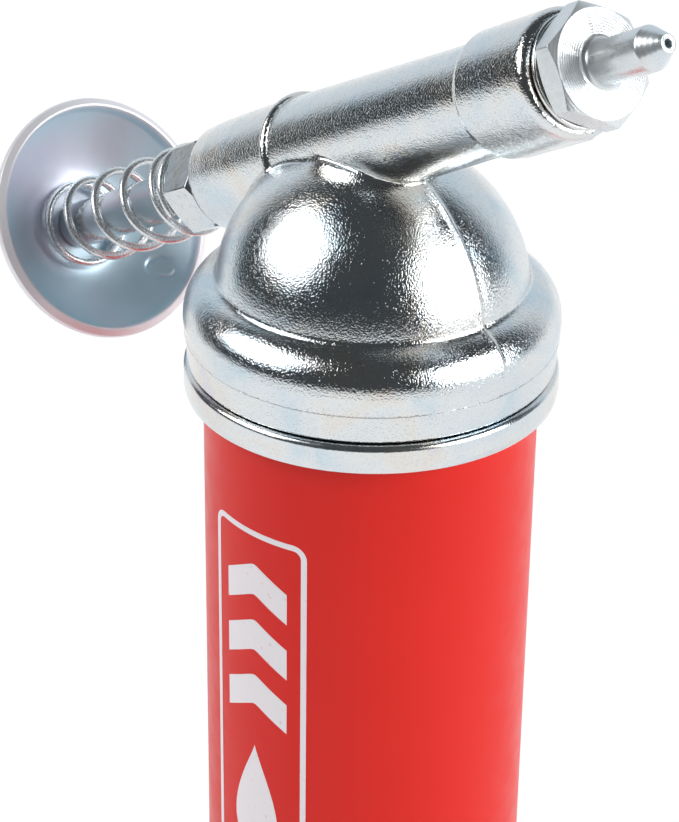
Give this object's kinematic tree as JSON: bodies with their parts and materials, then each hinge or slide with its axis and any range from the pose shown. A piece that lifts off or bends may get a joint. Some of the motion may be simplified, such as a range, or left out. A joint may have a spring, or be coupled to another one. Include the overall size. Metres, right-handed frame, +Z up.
{
  "type": "grease gun",
  "caption": "Palm-push grease gun: tube reservoir with spring follower, screwed dome head, inclined pump barrel with dished palm disc, return spring and needle nozzle.",
  "frame": {"origin": "centre of the flat base, on the tube's axis", "axes": "+Z up along the tube, +X towards the nozzle end of the barrel, which lies in the XZ plane and rises 29 degrees"},
  "size_m": [0.1074, 0.0446, 0.1931],
  "materials": {
    "red_paint": "smooth glossy red enamel",
    "plated_casting": "bright zinc plate over a fine cast grain",
    "zinc_plate": "bright zinc plate, turned",
    "pressed_disc": "smooth blue-white zinc plate",
    "spring_steel": "plated spring wire",
    "bearing_steel": "polished ball",
    "brass": "machined",
    "black_rubber": "matt"
  },
  "bodies": {
    "reservoir": {"reservoir_tube": "red_paint", "base_cap": "red_paint", "collar_ring": "zinc_plate", "follower_spring": "spring_steel"},
    "follower": {"follower_plate": "zinc_plate", "follower_cup": "black_rubber", "follower_washer": "zinc_plate", "follower_rivet": "zinc_plate"},
    "gasket": {"head_gasket": "black_rubber"},
    "head": {"head_casting": "plated_casting", "gland_nut": "zinc_plate", "rod_packing": "black_rubber", "packing_washer": "brass", "return_spring": "spring_steel", "nozzle_washer": "zinc_plate", "nozzle_fitting": "zinc_plate", "check_seat": "brass", "check_spring": "spring_steel"},
    "plunger": {"plunger_rod": "zinc_plate", "rod_stop_ring": "spring_steel", "palm_disc": "pressed_disc", "disc_screw": "zinc_plate"},
    "ball": {"check_ball": "bearing_steel"}
  },
  "joints": [
    {"name": "head_lift", "type": "slide", "parent": "reservoir", "child": "gasket", "axis": [0, 0, 1], "range_m": [0, 0.0061]},
    {"name": "head_turn", "type": "hinge", "parent": "gasket", "child": "head", "pos_m": [0, 0, 0.1409], "axis": [0, 0, 1], "range_deg": [0, 1440]},
    {"name": "plunger_slide", "type": "slide", "parent": "head", "child": "plunger", "axis": [0.8746, 0, 0.4848], "range_m": [0, 0.02], "stiffness_N_per_m": 2000, "springref_m": -0.004, "deforming": ["return_spring"]},
    {"name": "ball_slide", "type": "slide", "parent": "head", "child": "ball", "axis": [0.8746, 0, 0.4848], "range_m": [0, 0.0008], "stiffness_N_per_m": 80, "springref_m": -0.003, "deforming": ["check_spring"]},
    {"name": "follower_slide", "type": "slide", "parent": "reservoir", "child": "follower", "axis": [0, 0, -1], "range_m": [0, 0.075], "stiffness_N_per_m": 200, "springref_m": -0.06, "deforming": ["follower_spring"]}
  ],
  "couplings": [
    {"joint": "head_lift", "follows": "head_turn", "m_per_rad": 0.00023873}
  ]
}
